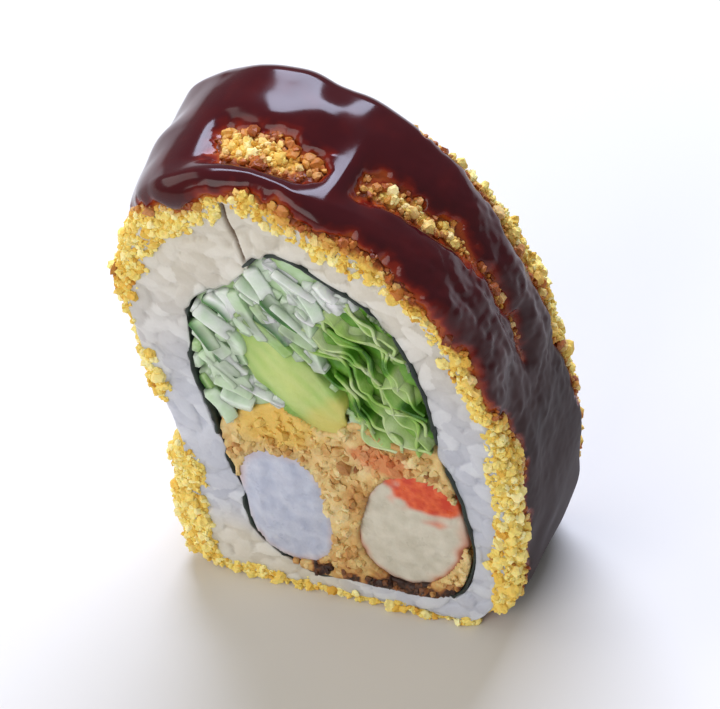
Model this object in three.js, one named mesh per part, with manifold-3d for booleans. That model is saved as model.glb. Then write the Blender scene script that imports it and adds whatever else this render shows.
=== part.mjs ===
// One upright slice of a rice-outside sushi roll: a crumb-coated rice ring with brown sauce,
// round a nori sheet filled with cucumber, avocado, lettuce and prawns in batter.
// Millimetres. X runs to the right of the cut face, Y into the slice, Z up.
import * as THREE from "three";
import Module from "manifold-3d";
import { SimplexNoise } from "three/addons/math/SimplexNoise.js";
import { mergeVertices } from "three/addons/utils/BufferGeometryUtils.js";

// Driving dimensions.
const WIDTH = 38;
const HEIGHT = 55.5;
const THICKNESS = 16;
const NORI_THICKNESS = 0.6;
const GAP = 0.3;

// Rice ring: its rounded edge, the lumps of its coat and the relief of its cut faces.
const EDGE_ROUND = 1.1;
const EDGE_INSET = 0.33;
const EDGE_SHARE = 0.7;
const LUMP_HEIGHT = 0.3;
const LUMP_LENGTH = 3.6;
const RICE_RELIEF = 0.18;
const RICE_GRAIN = 2.2;

// Crumbs pressed into the coat, and the sauce that lies on it.
const CRUMB_SPACING = 2.5;
const CRUMB_RADIUS = [0.95, 1.6];
const CRUMB_SHAPE = [1.3, 1.1, 0.8];
const CRUMB_UNEVEN = [0.75, 1.2];
const CRUMB_SUNK = 0.25;
const CRUMB_CLEARANCE = 0.6;
const SAUCE_DEPTH = 1.3;
const SAUCE_EDGE = 1.2;
const SAUCE_BLEND = 0.9;
const BARE_DEPTH = 1.1;

// Steps round the ring and across its outside.
const LOOP_STEPS = 80;
const SIDE_STEPS = 8;
const FACE_STOPS = [0, 0.45, 0.84, 1];

// Outline of the cut face, clockwise from the middle of the foot: X in half widths, Z in heights.
const OUTLINE = [
  [0, -0.012], [-0.68, -0.012], [-0.9, 0.04], [-0.94, 0.16], [-0.88, 0.31], [-0.94, 0.47],
  [-1, 0.65], [-0.91, 0.81], [-0.73, 0.92], [-0.44, 0.985], [-0.15, 1], [0.15, 0.97],
  [0.46, 0.905], [0.75, 0.8], [0.93, 0.64], [1, 0.43], [0.97, 0.22], [0.83, 0.06], [0.6, -0.012],
];

// The nori loop in the same units. The sheet is open between its two ends at the upper left.
const NORI_LOOP = [
  [0, 0.052], [-0.24, 0.05], [-0.48, 0.1], [-0.54, 0.23], [-0.61, 0.41], [-0.655, 0.56],
  [-0.57, 0.71], [-0.4, 0.757], [-0.26, 0.812], [-0.06, 0.862], [0.2, 0.823], [0.48, 0.747],
  [0.615, 0.6], [0.65, 0.44], [0.715, 0.315], [0.71, 0.17], [0.56, 0.07], [0.21, 0.052],
];
const NORI_OPENING = [0.41, 0.449];
const NORI_STEPS = 58;
const NORI_PROUD = 0.01;
const NORI_RAGGED = 0.015;
const ROOM_STEPS = 52;
const ROOM_EXTRA = 4;

// Sauce strokes: how far along the loop (0 at the crown, 1 down the right side to the foot,
// -1 down the left side), how far across (0 front edge, 1 back edge), and the radius there.
const SAUCE_STROKES = [
  [[-0.085, 0.03, 1.8], [-0.125, 0.3, 4.7], [-0.13, 0.6, 5.2], [-0.13, 1.04, 5]],
  [[-0.09, 0.08, 1.8], [-0.04, 0.1, 1.4], [0.01, 0.13, 1], [0.06, 0.1, 1.1], [0.13, 0.19, 1.8],
    [0.19, 0.24, 2.6], [0.25, 0.24, 3.3], [0.33, 0.26, 3], [0.42, 0.27, 3], [0.5, 0.42, 3]],
  [[-0.1, 0.8, 3.4], [0, 0.78, 3.9], [0.05, 0.77, 4.3], [0.1, 0.79, 3.4], [0.19, 0.77, 2.8],
    [0.25, 0.74, 2.3], [0.32, 0.71, 2.1], [0.38, 0.69, 2.2], [0.44, 0.66, 2.6], [0.52, 0.59, 4.5],
    [0.62, 0.56, 6.2], [0.9, 0.56, 6.4]],
  [[0.095, 0.15, 1.5], [0.1, 0.5, 1.4], [0.1, 0.8, 2]],
  [[-0.16, 0.3, 2.2], [-0.28, 0.4, 1.8], [-0.4, 0.38, 1.3]],
  [[-0.15, 0.85, 2.2], [-0.25, 0.88, 1.5]],
];

// The sauce runs thinner down the right side: where that starts and ends, and by what share.
const THINNING_FROM = 0.3;
const THINNING_TO = 0.6;
const THINNING = 0.65;

// Places where the coat has come off the rice: along, across and radius.
const BARE_SPOTS = [[-0.54, 0.02, 2.9], [-0.385, 0.03, 2], [0.83, 0.02, 2.4]];

// The line where the two ends of the rice meet, from the nori's opening to the crown.
const SEAM_FROM = [-0.235, 0.83];
const SEAM_TO = [-0.275, 0.965];
const SEAM_WIDTH = 0.8;
const SEAM_LIFT = 0.1;

// Fillings that are smooth blocks, in the same units: centre, half sizes in mm, tilt in degrees,
// squareness of the outline and depth of the notch in its left side.
const PRAWN_LEFT = { x: -0.28, z: 0.215, halfWidth: 4.9, halfHeight: 8.1, tilt: 0, power: 2.6, notch: 0.05 };
const PRAWN_RIGHT = { x: 0.39, z: 0.225, halfWidth: 5.7, halfHeight: 8.7, tilt: -20, power: 2.1, notch: 0.1 };
const AVOCADO = { x: -0.12, z: 0.545, halfWidth: 3.5, halfHeight: 7.6, tilt: 35, power: 2.2, notch: 0.1 };
const BATTER = { x: 0.09, z: 0.2, halfWidth: 14, halfHeight: 15, tilt: 0, power: 3, notch: 0 };
const GREENS = { x: 0.37, z: 0.6, halfWidth: 5.5, halfHeight: 9.4, tilt: 12, power: 2.3, notch: 0 };
const BLOCK_ENDS = [0, 0.55, 0.93];
const BLOCK_SIDE = 0.95;
const CAP_BULGE = 0.45;
const ROOM_BULGE = 2;
const BATTER_CRAG = 0.7;
const CRAG_TURNS = 3.2;

// Lettuce: wavy leaf layers side by side.
const LEAF_THICKNESS = 1.1;
const LEAF_PITCH = 1.9;
const LEAF_LAYERS = 8;
const LEAF_SLANT = -50;
const LEAF_STEPS = 6;
const LEAF_WAVE = 0.4;
const LEAF_WAVE_LENGTH = 1.3;
const LEAF_TURN = 1.1;
const LEAF_RAGGED = 0.04;
const LEAF_CORE = 0.86;

// Cucumber: square shreds that run through the slice.
const SHRED_WIDTH = 3.9;
const SHRED_PITCH = 3.35;
const SHRED_STAGGER = 0.7;
const SHRED_TURN = 0.35;
const SHRED_SHIFT = 0.3;
const SHREDS_FROM = [-0.68, 0.4];
const SHREDS_TO = [0.3, 0.86];

const HALF = THICKNESS / 2;

const wasm = await Module();
wasm.setup();

// Seeded draw, so that every run gives the same crumbs.
function seededRandom(seed) {
  let state = seed;
  return () => {
    state = (Math.imul(state, 1664525) + 1013904223) >>> 0;
    return state / 4294967296;
  };
}

const noise = new SimplexNoise({ random: seededRandom(11) });

function between(random, low, high) {
  return low + (high - low) * random();
}

function smoothstep(low, high, value) {
  const t = THREE.MathUtils.clamp((value - low) / (high - low), 0, 1);
  return t * t * (3 - 2 * t);
}

// A point of the cut face from its half width and height units.
function facePoint([x, z]) {
  return new THREE.Vector3(x * WIDTH / 2, 0, z * HEIGHT);
}

// --- Closed meshes and solids ---------------------------------------------------------------

// Drops everything but the positions and joins the vertices that coincide.
function welded(geometry) {
  geometry.deleteAttribute("normal");
  geometry.deleteAttribute("uv");
  return mergeVertices(geometry, 1e-4);
}

function toSolid(geometry) {
  const joined = welded(geometry);
  const mesh = new wasm.Mesh({
    numProp: 3,
    vertProperties: new Float32Array(joined.attributes.position.array),
    triVerts: new Uint32Array(joined.index.array),
  });
  return new wasm.Manifold(mesh);
}

function toGeometry(solid) {
  const mesh = solid.getMesh();
  const geometry = new THREE.BufferGeometry();
  geometry.setAttribute("position", new THREE.BufferAttribute(mesh.vertProperties, 3));
  geometry.setIndex(new THREE.BufferAttribute(mesh.triVerts, 1));
  return geometry;
}

// Moves every vertex of a grid-like geometry to where its two grid numbers put it.
function reshaped(geometry, columns, rows, place) {
  const { position, uv } = geometry.attributes;
  for (let i = 0; i < position.count; i += 1) {
    const column = Math.round(uv.getX(i) * columns * 2) / 2;
    const row = Math.round(uv.getY(i) * rows);
    const point = place(column, row);
    position.setXYZ(i, point.x, point.y, point.z);
  }
  return geometry;
}

// The largest body of a solid: the loose scraps that a cut leaves are dropped.
function largestBody(solid) {
  return solid.decompose().reduce((best, body) => (body.volume() > best.volume() ? body : best));
}

function placedBox(width, depth, height, x, y, z) {
  const box = new THREE.BoxGeometry(width, depth, height);
  box.translate(x, y, z);
  return toSolid(box);
}

// --- Outline loops --------------------------------------------------------------------------

function faceLoop(points) {
  const curve = new THREE.CatmullRomCurve3(points.map(facePoint), true, "centripetal");
  curve.arcLengthDivisions = 1200;
  return curve;
}

const outline = faceLoop(OUTLINE);
const noriLoop = faceLoop(NORI_LOOP);
const halfLoop = outline.getLength() / 2;

// Share of the loop at which the outline is highest.
function crownShare(curve) {
  const samples = 400;
  let best = 0;
  for (let i = 0; i < samples; i += 1) {
    if (curve.getPointAt(i / samples).z > curve.getPointAt(best).z) {
      best = i / samples;
    }
  }
  return best;
}

const crown = crownShare(outline);

function outwardNormal(curve, share) {
  const tangent = curve.getTangentAt(share);
  return new THREE.Vector3(-tangent.z, 0, tangent.x);
}

// A loop point moved outwards by a distance.
function offsetPoint(curve, share, distance) {
  const wrapped = ((share % 1) + 1) % 1;
  return curve.getPointAt(wrapped).addScaledVector(outwardNormal(curve, wrapped), distance);
}

// The loop as a flat shape, moved outwards by a distance.
function loopShape(curve, distance, steps) {
  const points = [];
  for (let i = 0; i < steps; i += 1) {
    const point = offsetPoint(curve, i / steps, distance);
    points.push(new THREE.Vector2(point.x, point.z));
  }
  return new THREE.Shape(points);
}

// A flat XZ shape run through the slice in the Y direction.
function runThrough(shape, depth, steps) {
  const geometry = new THREE.ExtrudeGeometry(shape, { depth, steps, bevelEnabled: false });
  geometry.rotateX(Math.PI / 2);
  geometry.translate(0, depth / 2, 0);
  return geometry;
}

// --- Sauce and bare spots on the unrolled outside -------------------------------------------

// How far inside a stroke segment a point lies; its radius changes evenly along it.
function insideSegment(along, across, from, to) {
  const ax = from[0] * halfLoop;
  const ay = from[1] * THICKNESS;
  const bx = to[0] * halfLoop - ax;
  const by = to[1] * THICKNESS - ay;
  const px = along - ax;
  const py = across - ay;
  const t = THREE.MathUtils.clamp((px * bx + py * by) / (bx * bx + by * by), 0, 1);
  return THREE.MathUtils.lerp(from[2], to[2], t) - Math.hypot(px - t * bx, py - t * by);
}

// Distance inside the blended strokes, negative outside them.
function insideSauce(along, across) {
  let sum = 0;
  for (const stroke of SAUCE_STROKES) {
    let depth = -Infinity;
    for (let i = 1; i < stroke.length; i += 1) {
      depth = Math.max(depth, insideSegment(along, across, stroke[i - 1], stroke[i]));
    }
    sum += Math.exp(depth / SAUCE_BLEND);
  }
  return SAUCE_BLEND * Math.log(sum + 1e-9);
}

function sauceHeight(along, across) {
  const thinned = THINNING * smoothstep(THINNING_FROM, THINNING_TO, along / halfLoop);
  return SAUCE_DEPTH * (1 - thinned) * smoothstep(0, SAUCE_EDGE, insideSauce(along, across));
}

function insideBareSpot(along, across) {
  let depth = -Infinity;
  for (const [spotAlong, spotAcross, radius] of BARE_SPOTS) {
    const distance = Math.hypot(along - spotAlong * halfLoop, across - spotAcross * THICKNESS);
    depth = Math.max(depth, radius - distance);
  }
  return depth;
}

// Distance along the loop from the crown, positive down the right side.
function alongLoop(share) {
  let turn = share - crown;
  if (turn > 0.5) {
    turn -= 1;
  }
  if (turn < -0.5) {
    turn += 1;
  }
  return turn * 2 * halfLoop;
}

// Height of the coat and sauce above the outline.
function coatHeight(share, across) {
  const along = alongLoop(share);
  const point = outline.getPointAt(share);
  const lump = noise.noise3d(point.x / LUMP_LENGTH, across / LUMP_LENGTH, point.z / LUMP_LENGTH);
  const worn = BARE_DEPTH * smoothstep(0, 1.5, insideBareSpot(along, across));
  return LUMP_HEIGHT * lump - worn + sauceHeight(along, across);
}

// --- Rice ring ------------------------------------------------------------------------------

// Relief of the cut rice, like the ends of grains.
function riceRelief(point, side) {
  return RICE_RELIEF * noise.noise3d(point.x / RICE_GRAIN, side * 7, point.z / RICE_GRAIN);
}

// A place on the rounded edge between a cut face and the outside.
function edgePlace(share, side) {
  const across = side < 0 ? 0 : THICKNESS;
  const point = offsetPoint(outline, share, EDGE_SHARE * coatHeight(share, across) - EDGE_INSET);
  point.y = side * (HALF - EDGE_INSET + EDGE_SHARE * sauceHeight(alongLoop(share), across));
  return point;
}

// Stations round the ring's section: front face outwards, outside, back face inwards, inside.
function ringStations() {
  const stations = FACE_STOPS.map((stop) => ({ side: -1, stop }));
  stations.push({ edge: -1 });
  for (let i = 0; i <= SIDE_STEPS; i += 1) {
    stations.push({ across: THREE.MathUtils.lerp(EDGE_ROUND, THICKNESS - EDGE_ROUND, i / SIDE_STEPS) });
  }
  stations.push({ edge: 1 });
  for (const stop of [...FACE_STOPS].reverse()) {
    stations.push({ side: 1, stop });
  }
  stations.push({ inside: true });
  return stations;
}

// A place on a cut face, from the nori to the rim, where sauce that laps over stands proud.
function facePlace(share, side, stop) {
  const inner = offsetPoint(noriLoop, share, NORI_THICKNESS / 2 + GAP);
  const rim = offsetPoint(outline, share, -EDGE_ROUND);
  const point = inner.lerp(rim, stop);
  const beyond = EDGE_ROUND + (1 - stop) * rim.distanceTo(inner);
  const across = side < 0 ? -beyond : THICKNESS + beyond;
  const relief = stop > 0 ? riceRelief(point, side) + sauceHeight(alongLoop(share), across) : 0;
  point.y = side * (HALF + relief);
  return point;
}

function ringPlace(share, station) {
  if (station.inside) {
    return offsetPoint(noriLoop, share, NORI_THICKNESS / 2 + GAP);
  }
  if (station.side) {
    return facePlace(share, station.side, station.stop);
  }
  if (station.edge) {
    return edgePlace(share, station.edge);
  }
  const point = offsetPoint(outline, share, coatHeight(share, station.across));
  point.y = station.across - HALF;
  return point;
}

function riceRing() {
  const stations = ringStations();
  const torus = new THREE.TorusGeometry(2, 1, stations.length, LOOP_STEPS);
  return reshaped(torus, LOOP_STEPS, stations.length, (column, row) => {
    const station = stations[row % stations.length];
    return ringPlace((column % LOOP_STEPS) / LOOP_STEPS, station);
  });
}

// One angular crumb of the given radius, turned at random.
function crumb(random, radius) {
  const geometry = welded(new THREE.OctahedronGeometry(radius, 0));
  const position = geometry.attributes.position;
  for (let i = 0; i < position.count; i += 1) {
    const stretch = between(random, ...CRUMB_UNEVEN);
    position.setXYZ(i, position.getX(i) * stretch, position.getY(i) * stretch, position.getZ(i) * stretch);
  }
  geometry.scale(...CRUMB_SHAPE);
  geometry.rotateX(random() * Math.PI);
  geometry.rotateY(random() * Math.PI);
  geometry.rotateZ(random() * Math.PI);
  return geometry;
}

// Crumbs in staggered rows over the outside, wherever neither sauce nor a bare spot lies.
function crumbs() {
  const random = seededRandom(5);
  const rows = Math.round(THICKNESS / CRUMB_SPACING);
  const columns = Math.round(2 * halfLoop / CRUMB_SPACING);
  const pieces = [];
  for (let row = 0; row < rows; row += 1) {
    for (let column = 0; column < columns; column += 1) {
      const radius = between(random, ...CRUMB_RADIUS);
      const share = (column + (row % 2) / 2 + between(random, 0.2, 0.8)) / columns % 1;
      const room = THICKNESS - 2 * EDGE_ROUND;
      const across = EDGE_ROUND + (row + between(random, 0.2, 0.8)) / rows * room;
      const along = alongLoop(share);
      const piece = crumb(random, radius);
      if (insideSauce(along, across) > -radius * CRUMB_CLEARANCE || insideBareSpot(along, across) > 0) {
        continue;
      }
      const point = offsetPoint(outline, share, coatHeight(share, across) - radius * CRUMB_SUNK);
      if (point.z > radius) {
        piece.translate(point.x, across - HALF, point.z);
        pieces.push(toSolid(piece));
      }
    }
  }
  return pieces;
}

// Two shallow V grooves, one on each cut face, where the ends of the rice meet.
function seamGrooves() {
  const from = facePoint(SEAM_FROM);
  const to = facePoint(SEAM_TO);
  const middle = from.clone().lerp(to, 0.5);
  const lean = Math.atan2(to.x - from.x, to.z - from.z);
  return [-1, 1].map((side) => {
    const groove = new THREE.BoxGeometry(SEAM_WIDTH, SEAM_WIDTH, from.distanceTo(to));
    groove.rotateZ(Math.PI / 4);
    groove.rotateY(lean);
    groove.translate(middle.x, side * (HALF + SEAM_LIFT), middle.z);
    return toSolid(groove);
  });
}

function rice() {
  const ring = wasm.Manifold.union([toSolid(riceRing()), ...crumbs()]);
  const floor = placedBox(2 * WIDTH, 2 * THICKNESS, HEIGHT, 0, 0, -HEIGHT / 2);
  return ring.subtract(floor).subtract(wasm.Manifold.union(seamGrooves()));
}

// --- Nori sheet -----------------------------------------------------------------------------

function noriRibbon() {
  const [leftEnd, rightEnd] = NORI_OPENING;
  const outer = [];
  const inner = [];
  for (let i = 0; i <= NORI_STEPS; i += 1) {
    const share = THREE.MathUtils.lerp(rightEnd, 1 + leftEnd, i / NORI_STEPS);
    const out = offsetPoint(noriLoop, share, NORI_THICKNESS / 2);
    const back = offsetPoint(noriLoop, share, -NORI_THICKNESS / 2);
    outer.push(new THREE.Vector2(out.x, out.z));
    inner.push(new THREE.Vector2(back.x, back.z));
  }
  return new THREE.Shape([...outer, ...inner.reverse()]);
}

// The sheet's cut edges stand a little proud, unevenly.
function nori() {
  const sheet = runThrough(noriRibbon(), THICKNESS, 2);
  const position = sheet.attributes.position;
  for (let i = 0; i < position.count; i += 1) {
    const ragged = NORI_RAGGED * noise.noise(position.getX(i) / 2, position.getZ(i) / 2);
    position.setY(i, position.getY(i) * (1 + NORI_PROUD + ragged));
  }
  return toSolid(sheet);
}

// --- Fillings -------------------------------------------------------------------------------

// Distance from a block's centre to its side, as a rounded rectangle with one shallow notch.
function blockRadius(shape, angle, grow) {
  const across = Math.abs(Math.cos(angle)) / shape.halfWidth;
  const upward = Math.abs(Math.sin(angle)) / shape.halfHeight;
  const radius = (across ** shape.power + upward ** shape.power) ** (-1 / shape.power);
  const notch = shape.notch * Math.max(0, -Math.cos(angle)) ** 6;
  return radius * (1 - notch) + grow;
}

// Rows of a block from the middle of its front to the middle of its back.
function blockRows(sideRows) {
  const rows = BLOCK_ENDS.map((size) => ({ size, depth: -1 }));
  for (let i = 0; i <= sideRows; i += 1) {
    rows.push({ size: 1, depth: THREE.MathUtils.lerp(-BLOCK_SIDE, BLOCK_SIDE, i / sideRows) });
  }
  for (const size of [...BLOCK_ENDS].reverse()) {
    rows.push({ size, depth: 1 });
  }
  return rows;
}

// A block that runs through the slice with slightly domed ends. Rough gives craggy sides.
function block(shape, { grow = 0, around = 24, sideRows = 1, rough = 0, bulge = CAP_BULGE } = {}) {
  const rows = blockRows(sideRows);
  const centre = facePoint([shape.x, shape.z]);
  const tilt = THREE.MathUtils.degToRad(shape.tilt);
  const sphere = new THREE.SphereGeometry(1, around, rows.length - 1);
  return toSolid(reshaped(sphere, around, rows.length - 1, (column, row) => {
    const { size, depth } = rows[rows.length - 1 - row];
    const angle = (column % around) / around * 2 * Math.PI;
    const crag = noise.noise3d(Math.cos(angle) * CRAG_TURNS, Math.sin(angle) * CRAG_TURNS, depth * 2);
    const radius = size * (blockRadius(shape, angle, grow) + rough * crag);
    const x = radius * Math.cos(angle);
    const z = radius * Math.sin(angle);
    const y = depth * (HALF + (bulge + grow) * (1 - size * size));
    return new THREE.Vector3(
      centre.x + x * Math.cos(tilt) - z * Math.sin(tilt), y,
      centre.z + x * Math.sin(tilt) + z * Math.cos(tilt),
    );
  }));
}

// The room inside the nori, a little longer than the slice.
function interior() {
  const shape = loopShape(noriLoop, -NORI_THICKNESS / 2 - GAP, ROOM_STEPS);
  return toSolid(runThrough(shape, THICKNESS + ROOM_EXTRA, 1));
}

// One layer of a leaf: a thin sheet that waves across the greens and through the slice.
function leafLayer(offset, phase) {
  const reach = 2 * GREENS.halfHeight;
  const layer = new THREE.BoxGeometry(reach, THICKNESS, LEAF_THICKNESS, LEAF_STEPS, 2, 1);
  const position = layer.attributes.position;
  for (let i = 0; i < position.count; i += 1) {
    const [x, y, z] = [position.getX(i), position.getY(i), position.getZ(i)];
    const wave = LEAF_WAVE * Math.sin(x / LEAF_WAVE_LENGTH + phase + y / THICKNESS);
    const ragged = 1 + LEAF_RAGGED * noise.noise(x / 2, offset);
    position.setXYZ(i, x, y * ragged, z + offset + wave);
  }
  layer.rotateY(-THREE.MathUtils.degToRad(LEAF_SLANT));
  return layer;
}

// Crumpled leaf: wavy layers fused to a core that stays behind their cut edges.
function lettuce(room) {
  const centre = facePoint([GREENS.x, GREENS.z]);
  const layers = [];
  for (let i = 0; i < LEAF_LAYERS; i += 1) {
    const layer = leafLayer((i - (LEAF_LAYERS - 1) / 2) * LEAF_PITCH, LEAF_TURN * i);
    layer.translate(centre.x, 0, centre.z);
    layers.push(toSolid(layer));
  }
  const core = block(GREENS, { around: 18 }).scale([1, LEAF_CORE, 1]);
  return wasm.Manifold.union(layers).intersect(block(GREENS, { around: 18, bulge: ROOM_BULGE })).add(core)
    .intersect(room).subtract(roomFor(AVOCADO));
}

// Square shreds side by side over the upper part of the room.
function shreds() {
  const random = seededRandom(23);
  const pieces = [];
  const from = facePoint(SHREDS_FROM);
  const to = facePoint(SHREDS_TO);
  for (let { z } = from; z < to.z; z += SHRED_PITCH) {
    for (let { x } = from; x < to.x; x += SHRED_PITCH) {
      const length = THICKNESS + random() * SHRED_STAGGER;
      const shred = new THREE.BoxGeometry(SHRED_WIDTH, length, SHRED_WIDTH);
      shred.rotateY(between(random, -SHRED_TURN, SHRED_TURN));
      shred.translate(x + between(random, 0, SHRED_SHIFT), 0, z + between(random, 0, SHRED_SHIFT));
      pieces.push(toSolid(shred));
    }
  }
  return wasm.Manifold.union(pieces);
}

// What a filling leaves free round a neighbour.
function roomFor(shape, options = {}) {
  return block(shape, { ...options, grow: GAP, bulge: ROOM_BULGE });
}

function fillings() {
  const room = interior();
  const craggy = { around: 32, sideRows: 4, rough: BATTER_CRAG };
  const greens = roomFor(GREENS);
  return {
    prawn_left: block(PRAWN_LEFT).intersect(room),
    prawn_right: block(PRAWN_RIGHT).intersect(room),
    avocado: block(AVOCADO).intersect(room),
    lettuce: lettuce(room),
    batter: block(BATTER, craggy).intersect(room).subtract(roomFor(PRAWN_LEFT))
      .subtract(roomFor(PRAWN_RIGHT)).subtract(roomFor(AVOCADO)).subtract(greens),
    cucumber: shreds().intersect(room).subtract(roomFor(AVOCADO))
      .subtract(greens).subtract(roomFor(BATTER, craggy)),
  };
}

// --- The slice ------------------------------------------------------------------------------

const FINISHES = {
  rice: { color: 0xe4cf8f, roughness: 0.7 },
  nori: { color: 0x16211c, roughness: 0.6 },
  lettuce: { color: 0x5f9a3a, roughness: 0.5 },
  cucumber: { color: 0xc4dcae, roughness: 0.4 },
  avocado: { color: 0xb9cf6c, roughness: 0.5 },
  batter: { color: 0xcf9a55, roughness: 0.8 },
  prawn_left: { color: 0xd9d3cf, roughness: 0.45 },
  prawn_right: { color: 0xe0b9a2, roughness: 0.45 },
};

function addNode(group, name, solid) {
  const material = new THREE.MeshStandardMaterial({ ...FINISHES[name], metalness: 0 });
  const mesh = new THREE.Mesh(toGeometry(solid), material);
  mesh.name = name;
  group.add(mesh);
}

function slice() {
  const group = new THREE.Group();
  addNode(group, "rice", rice());
  addNode(group, "nori", nori());
  for (const [name, solid] of Object.entries(fillings())) {
    addNode(group, name, largestBody(solid));
  }
  const box = new THREE.Box3().setFromObject(group);
  const centre = box.getCenter(new THREE.Vector3());
  group.position.set(-centre.x, -centre.y, -box.min.z);
  return group;
}

export default slice();
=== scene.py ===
"""Looks of one upright slice of a rice-outside sushi roll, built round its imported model.

Lengths are in millimetres until a mesh is made. X runs to the right of the cut face, Y into the
slice and Z up.
"""

import itertools
import math

import bmesh
import bpy
import numpy as np
from mathutils import Matrix, Quaternion, Vector


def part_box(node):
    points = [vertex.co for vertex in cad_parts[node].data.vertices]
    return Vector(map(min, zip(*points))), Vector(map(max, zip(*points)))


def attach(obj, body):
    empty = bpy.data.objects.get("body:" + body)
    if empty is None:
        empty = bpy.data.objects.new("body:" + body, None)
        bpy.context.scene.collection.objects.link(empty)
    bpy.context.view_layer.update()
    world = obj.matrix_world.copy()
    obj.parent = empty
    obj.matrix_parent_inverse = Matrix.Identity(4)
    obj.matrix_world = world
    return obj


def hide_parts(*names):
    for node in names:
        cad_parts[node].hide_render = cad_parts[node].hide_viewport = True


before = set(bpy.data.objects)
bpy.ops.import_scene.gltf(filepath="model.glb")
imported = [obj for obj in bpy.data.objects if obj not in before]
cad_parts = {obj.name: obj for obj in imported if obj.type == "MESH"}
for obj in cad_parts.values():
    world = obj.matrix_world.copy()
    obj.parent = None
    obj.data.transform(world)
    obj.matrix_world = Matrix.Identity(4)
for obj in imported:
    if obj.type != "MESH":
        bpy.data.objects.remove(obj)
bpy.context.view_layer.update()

# --- Dimensions of the part

WIDTH = 38
HEIGHT = 55.5
THICKNESS = 16
HALF = THICKNESS / 2
NORI_THICKNESS = 0.6
EDGE_ROUND = 1.1
FLAT = HALF - EDGE_ROUND
TURN_LENGTH = EDGE_ROUND * math.pi / 2

# Outline of the cut face, clockwise from the middle of the foot: X in half widths, Z in heights.
OUTLINE = [
    (0, -0.012), (-0.68, -0.012), (-0.9, 0.04), (-0.94, 0.16), (-0.88, 0.31), (-0.94, 0.47),
    (-1, 0.65), (-0.91, 0.81), (-0.73, 0.92), (-0.44, 0.985), (-0.15, 1), (0.15, 0.97),
    (0.46, 0.905), (0.75, 0.8), (0.93, 0.64), (1, 0.43), (0.97, 0.22), (0.83, 0.06), (0.6, -0.012),
]
NORI_LOOP = [
    (0, 0.052), (-0.24, 0.05), (-0.48, 0.1), (-0.54, 0.23), (-0.61, 0.41), (-0.655, 0.56),
    (-0.57, 0.71), (-0.4, 0.757), (-0.26, 0.812), (-0.06, 0.862), (0.2, 0.823), (0.48, 0.747),
    (0.615, 0.6), (0.65, 0.44), (0.715, 0.315), (0.71, 0.17), (0.56, 0.07), (0.21, 0.052),
]
NORI_OPENING = (0.41, 0.449)
# Shares of the loop, from the foot up the left side, where food closes over the nori's edge.
NORI_HIDDEN = [(0.305, 0.345), (0.065, 0.095), (-0.02, 0.012), (0.985, 1.02), (0.72, 0.74)]

# Sauce strokes: how far along the loop (0 at the crown, 1 down the right side to the foot, -1 down
# the left side), how far across (0 front edge, 1 back edge), and the radius there.
SAUCE_STROKES = [
    [(-0.085, 0.03, 1.8), (-0.125, 0.3, 4.7), (-0.13, 0.6, 5.2), (-0.13, 1.04, 5)],
    [(-0.09, 0.08, 1.8), (-0.04, 0.1, 1.4), (0.01, 0.13, 1), (0.06, 0.1, 1.1), (0.13, 0.19, 1.8),
     (0.19, 0.24, 2.6), (0.25, 0.24, 3.3), (0.33, 0.26, 3), (0.42, 0.27, 3), (0.5, 0.42, 3)],
    [(-0.1, 0.8, 3.4), (0, 0.78, 3.9), (0.05, 0.77, 4.3), (0.1, 0.79, 3.4), (0.19, 0.77, 2.8),
     (0.25, 0.74, 2.3), (0.32, 0.71, 2.1), (0.38, 0.69, 2.2), (0.44, 0.66, 2.6), (0.52, 0.59, 4.5),
     (0.62, 0.56, 6.2), (0.9, 0.56, 6.4)],
    [(0.095, 0.15, 1.5), (0.1, 0.5, 1.4), (0.1, 0.8, 2)],
    [(-0.16, 0.3, 2.2), (-0.28, 0.4, 1.8), (-0.4, 0.38, 1.3)],
    [(-0.15, 0.85, 2.2), (-0.25, 0.88, 1.5)],
]
SAUCE_DEPTH = 1.3
THINNING = (0.3, 0.6, 0.65)
SAUCE_BLEND = 0.9
SAUCE_SPREAD = 0.5
BARE_SPOTS = [(-0.54, 0.02, 2.9), (-0.385, 0.03, 2), (0.83, 0.02, 2.4)]
# How far in over the cut faces the coat and the sauce are made.
FACE_COAT = 4.6
# Heights above the foot at which rice, coat and sauce are pressed flat.
RICE_FOOT = 0.7
COAT_FOOT = 0.3
SAUCE_FOOT = 0.1
# Thin lines of crumbs left between the two streams of sauce.
CRUMB_STREAKS = [
    [(0.29, 0.53, 0.4), (0.335, 0.52, 0.75), (0.365, 0.505, 0.35)],
    [(0.375, 0.52, 0.5), (0.405, 0.5, 0.65), (0.44, 0.49, 0.3)],
]
# How far the coat shows on a cut face: along the loop, and mm in from the edge's turn.
COAT_FRINGE = [
    (-1, 0.3), (-0.86, 1.5), (-0.8, 1.2), (-0.76, 2.7), (-0.62, 2.4), (-0.57, 0), (-0.51, 0), (-0.48, 1.5),
    (-0.43, 1.2), (-0.4, 0.3), (-0.35, 0.6), (-0.3, 1.7), (-0.18, 2.3), (-0.12, 3.6), (-0.05, 3.4),
    (-0.025, 0.6), (0.01, 1.8), (0.12, 3), (0.2, 1.6), (0.3, 0.8), (0.36, 1.4), (0.42, 0.6),
    (0.5, 1), (0.6, 1.5), (0.76, 1.3), (0.81, 0), (0.9, 0.6), (0.95, 1.4), (1, 0.3),
]
# The line where the ends of the rice meet, in the outline's units.
SEAM = [(-0.235, 0.83), (-0.275, 0.965)]

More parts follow.
